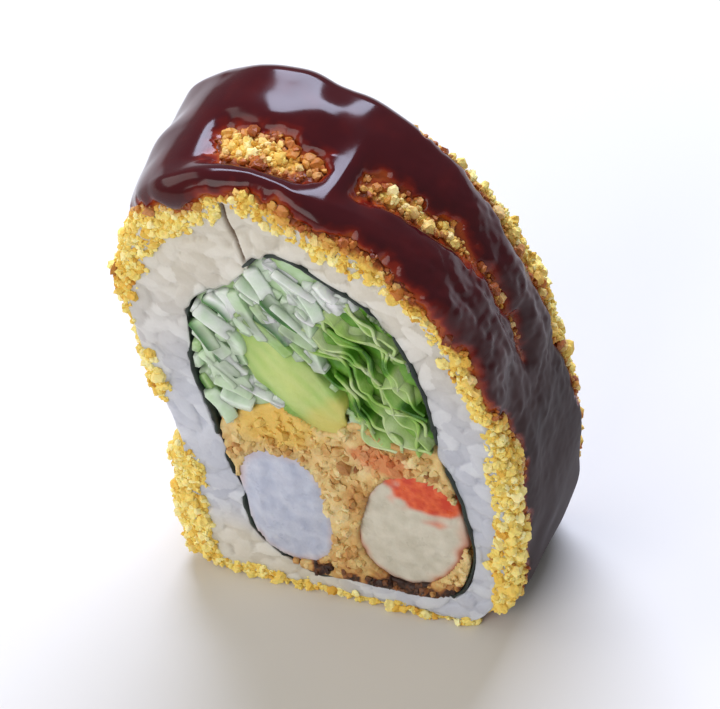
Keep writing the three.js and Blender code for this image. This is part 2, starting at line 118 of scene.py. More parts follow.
# Fillings, in the same units: centre, half sizes in mm, tilt in degrees and squareness.
PRAWN_LEFT = {"x": -0.28, "z": 0.215, "half": (4.9, 8.1), "tilt": 0, "power": 2.6}
PRAWN_RIGHT = {"x": 0.39, "z": 0.225, "half": (5.7, 8.7), "tilt": -20, "power": 2.1}
AVOCADO = {"x": -0.12, "z": 0.545, "half": (3.5, 7.6), "tilt": 35, "power": 2.2}
BATTER = {"x": 0.09, "z": 0.2, "half": (14, 15), "tilt": 0, "power": 3}
GREENS = {"x": 0.37, "z": 0.6, "half": (5.5, 9.4), "tilt": 12, "power": 2.3}
LEAF_SLANT = -50
SHRED_SLANT = -54
# XZ in mm of the shreds that show their dark peel, and of the deep green parts of the leaf.
PEELS = [(-8.2, 38.3), (-6.8, 37.1), (-2.7, 37.3), (-7.7, 32.7), (-7.2, 31.3), (-10.5, 27.2)]
DEEP_GREENS = [(0.3, 33.4), (2.4, 31.5), (4, 33.6), (5.3, 29.1), (6, 36.5), (7.9, 35.4), (10.6, 30.5)]
# Yellow and browned parts of the batter: XZ in mm and half sizes.
YOLK = (-5, 23.8, 4.6, 3.4)
BROWNED = (8.3, 25.1, 2, 1.7)
BLUSH = (5.6, 21.6, 3, 1.7)
# XZ in mm of the burnt bits below the prawns.
BURNT_BITS = [(2.5, 3.5), (4, 3.9), (5.6, 4.3), (7, 4.1), (8.4, 4.2), (10.5, 4.5), (12, 5.4), (-3.2, 3.9),
              (-6.9, 4.4), (0.2, 3.6)]


# --- Numbers

def smoothstep(low, high, value):
    t = np.clip((value - low) / (high - low), 0, 1)
    return t * t * (3 - 2 * t)


def hashed(cells, seed):
    """A number from 0 to 1 for each row of whole numbers."""
    mixed = np.full(len(cells), seed * 2654435761 % 2**32, np.uint32)
    for axis, prime in enumerate((73856093, 19349663, 83492791)):
        mixed ^= (cells[:, axis] & 0xFFFFFFFF).astype(np.uint32) * np.uint32(prime)
        mixed ^= mixed >> np.uint32(13)
        mixed *= np.uint32(0x5BD1E995)
    mixed ^= mixed >> np.uint32(15)
    return mixed / 2**32


def noise(points, length, seed=0):
    """Smooth noise from -1 to 1 whose bumps are about that long."""
    shape = points.shape[:-1]
    scaled = points.reshape(-1, 3) / length
    cells = np.floor(scaled).astype(np.int64)
    part = scaled - cells
    part = part * part * (3 - 2 * part)
    total = np.zeros(len(scaled))
    for corner in itertools.product((0, 1), repeat=3):
        weight = np.prod(np.where(corner, part, 1 - part), axis=1)
        total += weight * hashed(cells + corner, seed)
    return (2 * total - 1).reshape(shape)


def layered(points, *layers):
    """A sum of noises, each by its height, length and seed."""
    return sum(height * noise(points, length, seed) for height, length, seed in layers)


def joined(*parts):
    """Numbers side by side along a new last axis, such as x, y and z as points."""
    return np.stack(np.broadcast_arrays(*parts), -1)


def at_depth(flat, y=0):
    """Points at a depth into the slice from their XZ in the cut face."""
    return joined(flat[..., 0], y, flat[..., 1])


# --- Outline loops

def span(p0, p1, p2, p3, steps=60):
    """Centripetal Catmull-Rom points from p1 to p2."""
    d0, d1, d2 = (np.linalg.norm(b - a) ** 0.5 for a, b in ((p0, p1), (p1, p2), (p2, p3)))
    m1 = ((p1 - p0) / d0 - (p2 - p0) / (d0 + d1) + (p2 - p1) / d1) * d1
    m2 = ((p2 - p1) / d1 - (p3 - p1) / (d1 + d2) + (p3 - p2) / d2) * d1
    t = np.linspace(0, 1, steps, endpoint=False)[:, None]
    return ((2 * t**3 - 3 * t**2 + 1) * p1 + (t**3 - 2 * t**2 + t) * m1
            + (3 * t**2 - 2 * t**3) * p2 + (t**3 - t**2) * m2)


class Loop:
    """A closed outline in the XZ plane, by share of its length clockwise from the foot."""

    def __init__(self, units):
        corners = np.array(units) * (WIDTH / 2, HEIGHT)
        count = len(corners)
        spans = [span(*(corners[(i + k) % count] for k in (-1, 0, 1, 2))) for i in range(count)]
        self.points = np.concatenate(spans + [spans[0][:1]])
        steps = np.linalg.norm(np.diff(self.points, axis=0), axis=1)
        self.length = steps.sum()
        self.shares = np.concatenate([[0], np.cumsum(steps)]) / self.length

    def at(self, share):
        share = np.mod(share, 1)
        return joined(*(np.interp(share, self.shares, self.points[:, i]) for i in (0, 1)))

    def normal(self, share):
        ahead = self.at(share + 0.003) - self.at(share - 0.003)
        ahead /= np.linalg.norm(ahead, axis=-1, keepdims=True)
        return joined(-ahead[..., 1], ahead[..., 0])

    def offset(self, share, distance):
        return self.at(share) + self.normal(share) * np.asarray(distance)[..., None]

    def holds(self, points):
        """Whether each XZ point lies inside the loop."""
        x, z = points[..., 0], points[..., 1]
        inside = np.zeros(x.shape, bool)
        ring = self.points[::6]
        for (ax, az), (bx, bz) in zip(ring, np.roll(ring, -1, axis=0)):
            if az != bz:
                crosses = (az > z) != (bz > z)
                inside ^= crosses & (x < (bx - ax) * (z - az) / (bz - az) + ax)
        return inside


outline = Loop(OUTLINE)
nori_loop = Loop(NORI_LOOP)
half_loop = outline.length / 2
crown = outline.shares[np.argmax(outline.points[:, 1])]


def along_loop(share):
    """Distance along the loop from the crown, positive down the right side."""
    return (np.mod(share - crown + 0.5, 1) - 0.5) * outline.length


def way_down(share):
    """The same, with 1 or -1 at the foot."""
    return along_loop(share) / half_loop


# --- The ring's skin: a place by share round the loop and by reach across the outside
# Reach is 0 in the middle of the outside and grows over the rounded edge onto the cut face behind;
# it is negative towards the cut face in front.

def edge_turn(reach):
    return np.clip((np.abs(reach) - FLAT) / EDGE_ROUND, 0, math.pi / 2)


def beyond_edge(reach):
    return np.maximum(np.abs(reach) - FLAT - TURN_LENGTH, 0)


def skin(share, reach, height):
    """Points at a height above the ring's skin."""
    share, reach, height = np.broadcast_arrays(share, reach, height)
    turn = edge_turn(reach)
    inward = EDGE_ROUND * (1 - np.cos(turn)) + beyond_edge(reach)
    depth = np.minimum(np.abs(reach), FLAT) + EDGE_ROUND * np.sin(turn)
    flat = outline.offset(share, height * np.cos(turn) - inward)
    return at_depth(flat, np.sign(reach) * (depth + height * np.sin(turn)))


def skin_noise(share, reach, *layers):
    return layered(skin(share, reach, 0), *layers)


def across(reach):
    """The way across the outside from the front edge, which sauce and bare spots are given in."""
    turned = 2 * EDGE_ROUND * edge_turn(reach) / (math.pi / 2)
    value = HALF - np.minimum(np.abs(reach), FLAT) - turned - beyond_edge(reach)
    return np.where(reach < 0, value, THICKNESS - value)


def inside_segment(along, over, start, end):
    ax, ay = start[0] * half_loop, start[1] * THICKNESS
    bx, by = end[0] * half_loop - ax, end[1] * THICKNESS - ay
    px, py = along - ax, over - ay
    t = np.clip((px * bx + py * by) / (bx * bx + by * by), 0, 1)
    return start[2] + (end[2] - start[2]) * t - np.hypot(px - t * bx, py - t * by)


def inside_stroke(along, over, stroke):
    return np.maximum.reduce([inside_segment(along, over, a, b) for a, b in zip(stroke, stroke[1:])])


def inside_sauce(share, reach):
    """Distance inside the blended strokes, negative outside them."""
    along, over = along_loop(share), across(reach)
    total = 0
    for stroke in SAUCE_STROKES:
        total = total + np.exp(inside_stroke(along, over, stroke) / SAUCE_BLEND)
    return SAUCE_BLEND * np.log(total + 1e-9)


def inside_bare_spot(share, reach):
    """Distance inside the bare spots, with an uneven edge."""
    along, over = along_loop(share), across(reach)
    depths = [radius - np.hypot(along - a * half_loop, over - b * THICKNESS) for a, b, radius in BARE_SPOTS]
    return np.maximum.reduce(depths) + skin_noise(share, reach, (0.6, 1.2, 10))


def smooth_sauce(share, reach):
    """The sauce's distance with a flowing edge, parted by the streaks of crumbs."""
    along, over = along_loop(share), across(reach)
    flowing = inside_sauce(share, reach) + SAUCE_SPREAD + skin_noise(share, reach, (0.4, 2.6, 3))
    return np.minimum.reduce([flowing, *(0.3 - inside_stroke(along, over, s) for s in CRUMB_STREAKS)])


def ragged_sauce(share, reach):
    """The same with an edge that runs between the crumbs."""
    return smooth_sauce(share, reach) + skin_noise(share, reach, (0.45, 1.1, 4), (0.3, 0.5, 5))


# --- Meshes

def add_piece(name, slot, node, vertices, faces, material, values=None, smooth=True):
    """Makes one piece from vertices in mm and faces, which may stand for a node."""
    vertices = vertices + shift
    corners = vertices[faces]
    fans = [np.cross(corners[:, i], corners[:, i + 1]) for i in range(1, faces.shape[1] - 1)]
    if (corners[:, 0] * sum(fans)).sum() < 0:
        faces = faces[:, ::-1]
    mesh = bpy.data.meshes.new(name)
    mesh.from_pydata((vertices / 1000).tolist(), [], faces.tolist(), shade_flat=not smooth)
    mesh.validate()
    for key, numbers in (values or {}).items():
        layer = mesh.attributes.new(key, "FLOAT", "POINT")
        layer.data.foreach_set("value", np.asarray(numbers, np.float32).ravel())
    mesh.materials.append(material)
    piece = bpy.data.objects.new(name, mesh)
    bpy.context.scene.collection.objects.link(piece)
    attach(piece, "root")
    if node:
        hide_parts(node)


def grid_faces(rows, columns, wrap_rows=False, wrap_columns=False):
    """Quads of a grid of points numbered row by row."""
    r = np.arange(rows if wrap_rows else rows - 1)[:, None]
    c = np.arange(columns if wrap_columns else columns - 1)[None, :]
    r2, c2 = (r + 1) % rows, (c + 1) % columns
    quads = joined(r * columns + c, r * columns + c2, r2 * columns + c2, r2 * columns + c)
    return quads.reshape(-1, 4)


def merged(parts):
    """One list of vertices and one of faces from those of many small meshes."""
    vertices, faces = zip(*parts)
    starts = np.cumsum([0] + [len(points) for points in vertices])
    return np.concatenate(vertices), np.concatenate([f + start for f, start in zip(faces, starts)])


def shell(top, bottom, keep):
    """Closed mesh between two grids of points that wrap along their columns, where cells are kept."""
    rows, columns = top.shape[:2]
    cells = grid_faces(rows, columns, wrap_columns=True)
    kept = keep.reshape(-1)
    lower = rows * columns
    faces = [cells[kept], cells[kept][:, ::-1] + lower]
    padded = np.pad(keep, ((1, 1), (0, 0)))
    neighbours = [padded[:-2], np.roll(keep, -1, 1), padded[2:], np.roll(keep, 1, 1)]
    for side, neighbour in enumerate(neighbours):
        open_side = cells[(keep & ~neighbour).reshape(-1)]
        a, b = open_side[:, side], open_side[:, (side + 1) % 4]
        faces.append(np.stack([b, a, a + lower, b + lower], -1))
    faces = np.concatenate(faces)
    used, faces = np.unique(faces, return_inverse=True)
    vertices = np.concatenate([top.reshape(-1, 3), bottom.reshape(-1, 3)])
    return vertices[used], faces.reshape(-1, 4), used % lower


def ball(subdivisions):
    """Vertices and triangles of a ball of radius 1."""
    mesh = bmesh.new()
    bmesh.ops.create_icosphere(mesh, subdivisions=subdivisions, radius=1)
    vertices = np.array([v.co for v in mesh.verts])
    faces = np.array([[v.index for v in f.verts] for f in mesh.faces])
    mesh.free()
    return vertices, faces


def turns(random, count):
    """Random rotation matrices."""
    return np.array([Quaternion(q).normalized().to_matrix() for q in random.normal(size=(count, 4))])


def scattered(random, shape, places, sizes, uneven):
    """One mesh of many uneven copies of a small closed shape, turned at random."""
    vertices, faces = shape
    count, corners = len(places), len(vertices)
    copies = vertices[None] * sizes[:, None] * random.uniform(*uneven, (count, corners, 1))
    copies = np.einsum("nij,nmj->nmi", turns(random, count), copies) + places[:, None]
    numbers = faces[None] + (np.arange(count) * corners)[:, None, None]
    return copies.reshape(-1, 3), numbers.reshape(-1, 3)


def remeshed(node, voxel, relax):
    """Vertices in mm, quads and normals of a fine, even, relaxed copy of a CAD node."""
    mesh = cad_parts[node].data.copy()
    mesh.transform(Matrix.Scale(1000, 4))
    copy = bpy.data.objects.new("copy", mesh)
    bpy.context.scene.collection.objects.link(copy)
    remesh = copy.modifiers.new("remesh", "REMESH")
    remesh.mode = "VOXEL"
    remesh.voxel_size = voxel
    copy.modifiers.new("smooth", "SMOOTH").iterations = relax
    fine = copy.evaluated_get(bpy.context.evaluated_depsgraph_get()).to_mesh()
    vertices, normals, faces = (
        np.array([getattr(item, key) for item in items])
        for items, key in ((fine.vertices, "co"), (fine.vertices, "normal"), (fine.polygons, "vertices")))
    bpy.data.objects.remove(copy)
    return vertices.astype(float) - shift, faces, normals


def facing(normals):
    """1 on a cut face and 0 on a side."""
    return smoothstep(0.5, 0.9, np.abs(normals[:, 1]))


def surface_places(random, vertices, faces, normals, count):
    """Points spread evenly over a mesh, with their normals."""
    a, b, c = (vertices[faces[:, i]] for i in range(3))
    area = np.linalg.norm(np.cross(b - a, c - a), axis=1)
    chosen = random.choice(len(faces), count, p=area / area.sum())
    u, v = random.uniform(size=(2, count, 1))
    flip = u + v > 1
    u, v = np.where(flip, 1 - u, u), np.where(flip, 1 - v, v)
    place = a[chosen] + u * (b[chosen] - a[chosen]) + v * (c[chosen] - a[chosen])
    return place, normals[faces[chosen, 0]]


def block_local(shape, points):
    """XZ of the points from a filling's centre, along its own axes."""
    tilt = math.radians(shape["tilt"])
    x = points[:, 0] - shape["x"] * WIDTH / 2
    z = points[:, 2] - shape["z"] * HEIGHT
    return x * math.cos(tilt) + z * math.sin(tilt), z * math.cos(tilt) - x * math.sin(tilt)


def block_share(shape, points):
    """0 in a filling's middle and 1 on its side."""
    x, z = block_local(shape, points)
    power = shape["power"]
    return (np.abs(x / shape["half"][0]) ** power + np.abs(z / shape["half"][1]) ** power) ** (1 / power)


def nori_shift():
    """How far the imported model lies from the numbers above."""
    low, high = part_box("nori")
    shares = np.linspace(NORI_OPENING[1], 1 + NORI_OPENING[0], 59)
    outer = nori_loop.offset(shares, NORI_THICKNESS / 2)
    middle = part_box("avocado")
    return np.array([low.x * 1000 - outer[:, 0].min(), (middle[0].y + middle[1].y) * 500,
                     low.z * 1000 - outer[:, 1].min()])


shift = nori_shift()


# --- Materials

class Look:
    """A Principled material with short calls for the nodes that feed it."""

    def __init__(self, name, soft=None, coat=None, **sockets):
        """soft is subsurface weight, scale and radius; coat is weight and roughness."""
        self.material = bpy.data.materials.new(name)
        self.material.use_nodes = True
        self.tree = self.material.node_tree
        self.shader = next(n for n in self.tree.nodes if n.type == "BSDF_PRINCIPLED")
        sockets.update(zip(("Subsurface Weight", "Subsurface Scale", "Subsurface Radius"), soft or ()))
        sockets.update(zip(("Coat Weight", "Coat Roughness"), coat or ()))
        for key, value in sockets.items():
            self.shader.inputs[key.replace("_", " ")].default_value = value
        self.place = self.node("ShaderNodeTexCoord").outputs["Object"]

    def node(self, kind, inputs=None, **settings):
        node = self.tree.nodes.new(kind)
        for key, value in settings.items():
            setattr(node, key, value)
        for key, value in (inputs or {}).items():
            self.feed(node.inputs[key], value)
        return node

    def feed(self, socket, value):
        """Links a socket to a node's output, or sets it to a number or an sRGB colour."""
        if isinstance(value, bpy.types.NodeSocket):
            self.tree.links.new(value, socket)
        else:
            socket.default_value = (*linear(value), 1) if socket.type == "RGBA" else value

    def attribute(self, name):
        return self.node("ShaderNodeAttribute", attribute_name=name).outputs["Fac"]

    def noise(self, length, detail=2.0, stretch=(1, 1, 1)):
        """Noise whose bumps are about so many mm long, stretched along the axes."""
        vector = self.node("ShaderNodeMapping", {"Vector": self.place, "Scale": stretch})
        made = self.node("ShaderNodeTexNoise", {"Vector": vector.outputs["Vector"],
                                                "Scale": 1000 / length, "Detail": detail})
        return made.outputs["Fac"]

    def cells(self, length):
        made = self.node("ShaderNodeTexVoronoi", {"Vector": self.place, "Scale": 1000 / length})
        return made.outputs["Distance"]

    def math(self, operation, a, b, clamp=False):
        return self.node("ShaderNodeMath", {0: a, 1: b}, operation=operation, use_clamp=clamp).outputs[0]

    def ramp(self, value, stops):
        node = self.node("ShaderNodeValToRGB", {"Fac": value})
        elements = node.color_ramp.elements
        while len(elements) < len(stops):
            elements.new(0.5)
        for element, (position, colour) in zip(elements, stops):
            element.position = position
            element.color = (*linear(colour), 1)
        return node.outputs["Color"]

    def mix(self, share, a, b):
        return self.node("ShaderNodeMix", {0: share, 6: a, 7: b}, data_type="RGBA").outputs[2]

    def colour(self, socket):
        self.feed(self.shader.inputs["Base Color"], socket)

    def tone(self, length, detail, share, less):
        """The tint with noise added."""
        uneven = self.math("MULTIPLY", self.noise(length, detail), share)
        return self.math("SUBTRACT", self.math("ADD", self.attribute("tint"), uneven), less)

    def finished(self, rough, low, high, height, depth):
        """The material with its roughness, and relief from a height of 0 to 1 for a depth in mm."""
        roughness = self.node("ShaderNodeMapRange", {"Value": rough, "To Min": low, "To Max": high})
        self.feed(self.shader.inputs["Roughness"], roughness.outputs["Result"])
        relief = self.node("ShaderNodeBump", {"Height": height, "Distance": depth / 1000})
        self.feed(self.shader.inputs["Normal"], relief.outputs["Normal"])
        return self.material


def linear(colour):
    """Linear red, green and blue of an sRGB colour from 0 to 255."""
    return tuple((c / 255 / 12.92) if c < 10.3 else ((c / 255 + 0.055) / 1.055) ** 2.4 for c in colour)


def rice_look():
    look = Look("rice", (0.55, 0.0018, (1.0, 0.9, 0.9)), (0.15, 0.3), IOR=1.4)
    tone = look.math("ADD", look.math("MULTIPLY", look.attribute("tint"), 0.55),
                     look.math("MULTIPLY", look.noise(1.4, 3), 0.45))
    cool = look.ramp(tone, [(0.1, (176, 179, 191)), (0.5, (196, 198, 207)), (0.9, (216, 218, 223))])
    creamy = look.ramp(tone, [(0.1, (193, 184, 166)), (0.5, (211, 204, 189)), (0.9, (228, 223, 212))])
    grains = look.mix(look.attribute("creamy"), cool, creamy)
    look.colour(look.mix(look.attribute("seam"), grains, (104, 78, 48)))
    return look.finished(look.noise(1.4), 0.35, 0.6, look.noise(0.4, 3), 0.05)


def crumb_colour(look, tone):
    base = look.ramp(tone, [(0, (252, 240, 176)), (0.3, (244, 220, 124)), (0.6, (234, 194, 84)),
                            (0.85, (216, 160, 58)), (1, (168, 108, 38))])
    soaked = look.ramp(look.attribute("stain"), [(0.15, (222, 160, 60)), (0.5, (184, 98, 30)),
                                                 (1, (104, 38, 18))])
    share = look.math("MULTIPLY", look.attribute("stain"), 1.6, clamp=True)
    return look.mix(share, base, soaked)


def crumb_look():
    look = Look("crumb", (0.12, 0.0005), IOR=1.4)
    look.colour(crumb_colour(look, look.tone(0.6, 2, 0.25, 0.12)))
    return look.finished(look.attribute("stain"), 0.75, 0.3, look.noise(0.25, 3), 0.06)


def coat_look():
    look = Look("coat", (0.1, 0.0005), IOR=1.4)
    tone = look.math("ADD", look.math("MULTIPLY", look.noise(0.7, 4), 0.6),
                     look.math("MULTIPLY", look.noise(3.5), 0.45))
    look.colour(crumb_colour(look, look.math("SUBTRACT", tone, 0.05)))
    return look.finished(look.attribute("stain"), 0.85, 0.35, look.cells(0.55), 0.25)


def sauce_look():
    look = Look("sauce", Specular_IOR_Level=0.42, IOR=1.4)
    depth = look.math("ADD", look.attribute("film"),
                      look.math("MULTIPLY", look.noise(3.0, 2), 0.5))
    body = look.ramp(look.math("SUBTRACT", depth, 0.25),
                     [(0, (158, 70, 26)), (0.22, (126, 34, 18)), (0.5, (92, 19, 15)), (1, (62, 13, 17))])
    # On the lower right flank the sauce is mixed to near-black: partly thicker sauce, partly painted shade.
    look.colour(look.mix(look.attribute("flank_sauce_and_shade"), body, (22, 7, 6)))
    return look.finished(look.attribute("flank_sauce_and_shade"), 0.14, 0.66, look.noise(3.0, 1), 0.05)


def nori_look():
    look = Look("nori", coat=(0.2, 0.35), IOR=1.45)
    look.colour(look.ramp(look.noise(1.2, 4), [(0.3, (14, 24, 20)), (0.55, (24, 40, 32)),
                                               (0.8, (44, 60, 44))]))
    return look.finished(look.noise(0.8), 0.35, 0.65, look.noise(0.5, 4, (1, 0.4, 1)), 0.12)


def avocado_look():
    look = Look("avocado", (0.3, 0.001, (1.0, 0.9, 0.4)), IOR=1.42)
    body = look.ramp(look.attribute("share"), [(0, (190, 206, 116)), (0.5, (172, 198, 108)),
                                               (0.85, (146, 182, 90)), (1, (116, 160, 66))])
    streaked = look.mix(look.math("MULTIPLY", look.attribute("streak"), 0.5), body, (214, 218, 150))
    look.colour(look.mix(look.attribute("ripe"), streaked, (214, 192, 98)))
    return look.finished(look.noise(1.5), 0.3, 0.55, look.noise(0.8, 3, (1, 0.5, 1)), 0.12)


def lettuce_look():
    look = Look("lettuce", (0.35, 0.001, (0.7, 1.0, 0.3)), (0.15, 0.2), IOR=1.4)
    look.colour(look.ramp(look.tone(1.6, 3, 0.4, 0.2), [(0.05, (52, 100, 22)), (0.3, (94, 148, 42)),
                                                        (0.6, (156, 190, 98)), (0.9, (196, 214, 160))]))
    return look.finished(look.noise(1.2), 0.3, 0.55, look.noise(0.7, 4), 0.12)


def cucumber_look():
    look = Look("cucumber", (0.5, 0.0018, (0.8, 1.0, 0.75)), (0.35, 0.1), IOR=1.36)
    flesh = look.ramp(look.tone(1.2, 3, 0.4, 0.2), [(0.05, (152, 186, 108)), (0.35, (178, 206, 160)),
                                                    (0.6, (206, 224, 200)), (0.85, (234, 240, 234))])
    skin_tone = look.ramp(look.noise(1.5, 2), [(0.35, (26, 78, 28)), (0.65, (66, 122, 46))])
    look.colour(look.mix(look.attribute("skin"), flesh, skin_tone))
    return look.finished(look.noise(1.0), 0.12, 0.35, look.noise(0.5, 3, (1, 0.3, 1)), 0.06)


def batter_look():
    look = Look("batter", (0.2, 0.0006), (0.1, 0.3), IOR=1.42)
    body = look.ramp(look.tone(1.1, 4, 0.5, 0.25), [
        (0, (236, 218, 168)), (0.4, (222, 190, 126)), (0.62, (200, 152, 86)), (0.82, (150, 92, 44)),
        (1, (52, 28, 18))])
    golden = look.mix(look.attribute("yolk"), body, (230, 190, 88))
    look.colour(look.mix(look.attribute("blush"), golden, (206, 112, 62)))
    return look.finished(look.noise(0.9), 0.4, 0.75, look.noise(0.45, 4), 0.2)


def prawn_look(flesh_tones):
    look = Look("prawn", (0.4, 0.0015, (1.0, 0.75, 0.7)), (0.25, 0.15), IOR=1.4)
    flesh = look.ramp(look.noise(1.6, 3, (1, 0.4, 1)), list(zip((0.3, 0.7), flesh_tones)))
    rim = look.ramp(look.attribute("rim"), [(0.1, (222, 170, 146)), (0.5, (192, 118, 88)),
                                            (0.9, (126, 62, 38))])
    cap = look.ramp(look.noise(1.0, 3), [(0.35, (226, 104, 56)), (0.65, (200, 58, 28))])
    rimmed = look.mix(look.math("MULTIPLY", look.attribute("rim"), 1.6, clamp=True), flesh, rim)
    look.colour(look.mix(look.attribute("cap"), rimmed, cap))
    return look.finished(look.noise(1.3), 0.2, 0.42, look.noise(0.6, 3, (1, 0.3, 1)), 0.08)


def floor_look():
    look = Look("floor", Roughness=0.6)
    look.colour(look.ramp(look.noise(60), [(0.3, (214, 209, 200)), (0.7, (218, 213, 204))]))
    return look.material


# --- Rice

GRAIN_DOME = 0.5
FACE_RELIEF = 0.42


def grain_relief(random, points, spacing):
    """Height and tone of grains that lie side by side over points on a plane."""
    height = np.full(points.shape[:-1], -0.8)
    tone = np.full(points.shape[:-1], 0.3)
    low, high = points.reshape(-1, 2).min(0) - 2, points.reshape(-1, 2).max(0) + 2
    for x in np.arange(low[0], high[0], spacing):
        for z in np.arange(low[1], high[1], spacing):
            centre = np.array([x, z]) + random.uniform(-0.45, 0.45, 2) * spacing
            angle, tilt = random.uniform(0, math.pi), random.uniform()
            length, girth = 1.1 + 1.6 * tilt, random.uniform(0.85, 1.1)
            top, shade = random.uniform(-0.34, 0.1), random.uniform()
            away = points - centre
            near = np.abs(away).max(-1) < length
            u = away[near] @ (math.cos(angle), math.sin(angle)) / length
            v = away[near] @ (-math.sin(angle), math.cos(angle)) / girth
            rise = np.sqrt(np.maximum(1 - u * u - v * v, 0))
            raised = np.where(rise > 0, top - GRAIN_DOME * (1 - rise), -1)
            higher = raised > height[near]
            height[near] = np.where(higher, raised, height[near])
            tone[near] = np.where(higher, shade, tone[near])
    level = 0.06
    return level - 0.12 * np.logaddexp(0, (level - height) / 0.12), tone


def ring_piece(name, rows, foot, material, values):
    """A ring whose section is a closed row of points at every share round the loop."""
    grid = np.concatenate(rows)
    grid[..., 2] = np.maximum(grid[..., 2], foot + 0.12 * noise(grid, 1.5, 18))
    faces = grid_faces(*grid.shape[:2], wrap_rows=True, wrap_columns=True)
    add_piece(name, "rice", "rice", grid.reshape(-1, 3), faces, material, values)


def nori_hidden(share):
    """1 where rice and fillings close over the nori's edge and 0 where it shows."""
    share = np.mod(share, 1)
    stretches = [smoothstep(-0.01, 0.01, np.minimum(share - low, high - share)) for low, high in NORI_HIDDEN]
    uneven = noise(joined(*nori_loop.at(share).T, 0), 3.2, 46)
    return np.maximum.reduce([*stretches, smoothstep(0.25, 0.6, uneven)])


def seam_share(flat):
    """1 on the line where the ends of the rice meet and 0 away from it."""
    start, end = (np.array(point) * (WIDTH / 2, HEIGHT) for point in SEAM)
    length = np.linalg.norm(end - start)
    axis = (end - start) / length
    run = (flat - start) @ axis
    aside = np.abs((flat - start) @ (axis[1], -axis[0]) + 0.4 * noise(at_depth(flat), 1.8, 17))
    return smoothstep(-0.5, 0.3, run) * smoothstep(0.5, -0.3, run - length) * smoothstep(0.38, 0.05, aside)


def rice_core():
    """The ring of rice: grains show on its cut faces, and outside where the coat has come off."""
    random = np.random.default_rng(3)
    columns, face_rows, side_rows = 640, 36, 28
    share = np.arange(columns) / columns
    sink = 0.85
    reaches = np.linspace(-FLAT - TURN_LENGTH, FLAT + TURN_LENGTH, side_rows)[:, None]
    relief, tone = grain_relief(random, joined(along_loop(share), reaches), 1.9)
    outside = skin(share, reaches, relief * 0.8 - sink * np.cos(edge_turn(reaches)))
    in_opening = np.minimum(share - NORI_OPENING[0], NORI_OPENING[1] - share)
    closed = 0.8 * smoothstep(-0.004, 0.006, in_opening)
    covered = np.maximum(closed, 0.5 * nori_hidden(share))
    inner, face_inner = (nori_loop.offset(share, NORI_THICKNESS / 2 - 0.05 - over)
                         for over in (closed, covered))
    bands = []
    for side in (-1, 1):
        rim = skin(share, side * (FLAT + TURN_LENGTH), 0)[:, [0, 2]]
        flat = face_inner + (rim - face_inner) * np.linspace(0, 1, face_rows)[:, None, None]
        face_relief, face_tone = grain_relief(random, flat, 1.9)
        seam = seam_share(flat)
        face = at_depth(flat, side * (HALF + FACE_RELIEF * face_relief - 0.45 * seam))
        bands.append([band[:-1][::-side] for band in (face, face_tone, seam)])
        if side < 0:
            bands.append([outside, tone, 0 * tone])
    wall = at_depth(inner, np.linspace(HALF - 0.6, -HALF + 0.6, 4)[:, None])
    bands.append([wall, np.full(wall.shape[:2], 0.4), np.zeros(wall.shape[:2])])
    places, tints, seams = (np.concatenate(parts) for parts in zip(*bands))
    x, z = places[..., 0], places[..., 2] + 3 * noise(places, 6, 47)
    creamy = np.maximum(smoothstep(20, 48, z), smoothstep(10, 5, z) * smoothstep(4, -4, x))
    values = {"tint": tints, "seam": seams, "creamy": creamy}
    ring_piece("rice_core", [places], RICE_FOOT, rice_look(), values)


# --- Crumb coat

def coat_width(share):
    """How far the coat shows on a cut face, in from the edge's turn."""
    return np.interp(way_down(share), *zip(*COAT_FRINGE)) - 0.1


def lump_height(share, reach):
    return skin_noise(share, reach, (0.3, 3.6, 8))


def coat_height(share, reach):
    """Height of the coat, with thick clumps low on the left side."""
    down = way_down(share)
    low = smoothstep(-0.55, -0.62, down) * smoothstep(-0.86, -0.78, down)
    clumps = low * (0.35 + skin_noise(share, reach, (0.75, 2.4, 16)))
    lump = lump_height(share, reach) + clumps + skin_noise(share, reach, (0.25, 1.3, 9))
    return lump - 1.5 * smoothstep(-0.2, 0.9, inside_bare_spot(share, reach))


def coat_top(share, reach):
    """The same with its fringe on the cut faces, where it sinks into the rice."""
    ragged = coat_width(share) + skin_noise(share, reach, (0.7, 1.6, 12), (0.4, 0.6, 13))
    fringe = smoothstep(0.3, -0.5, ragged - beyond_edge(reach))
    fine = skin_noise(share, reach, (0.16, 0.6, 14), (0.1, 0.3, 15))
    height = coat_height(share, reach) * (1 - 0.75 * np.sin(edge_turn(reach))) + fine - 0.1
    return height - 1.1 * fringe


def stain_at(share, reach):
    """How far the sauce has soaked the coat: widest below the front edge of the right side."""
    down, over = way_down(share), across(reach) / THICKNESS
    soaked = smoothstep(0, 0.06, down) * smoothstep(0.28, 0.2, down) * smoothstep(0.2, 0.1, over)
    window = smoothstep(-0.1, -0.07, down) * smoothstep(0.11, 0.08, down) * smoothstep(0.15, 0.2, over)
    return smoothstep(-0.9 - 1.6 * soaked - 1.1 * window, 0.3, ragged_sauce(share, reach))


def coat_base():
    columns, rows, under_rows = 600, 104, 6
    share = np.arange(columns) / columns
    end = FLAT + TURN_LENGTH + FACE_COAT
    reach = np.linspace(-end, end, rows)[:, None]
    top = skin(share, reach, coat_top(share, reach))
    under = skin(share, np.linspace(end - 0.4, 0.4 - end, under_rows)[:, None], -1.5)
    stain = np.concatenate([stain_at(share, reach), np.zeros((under_rows, columns))])
    ring_piece("crumb_coat", [top, under], COAT_FOOT, coat_look(), {"stain": stain})


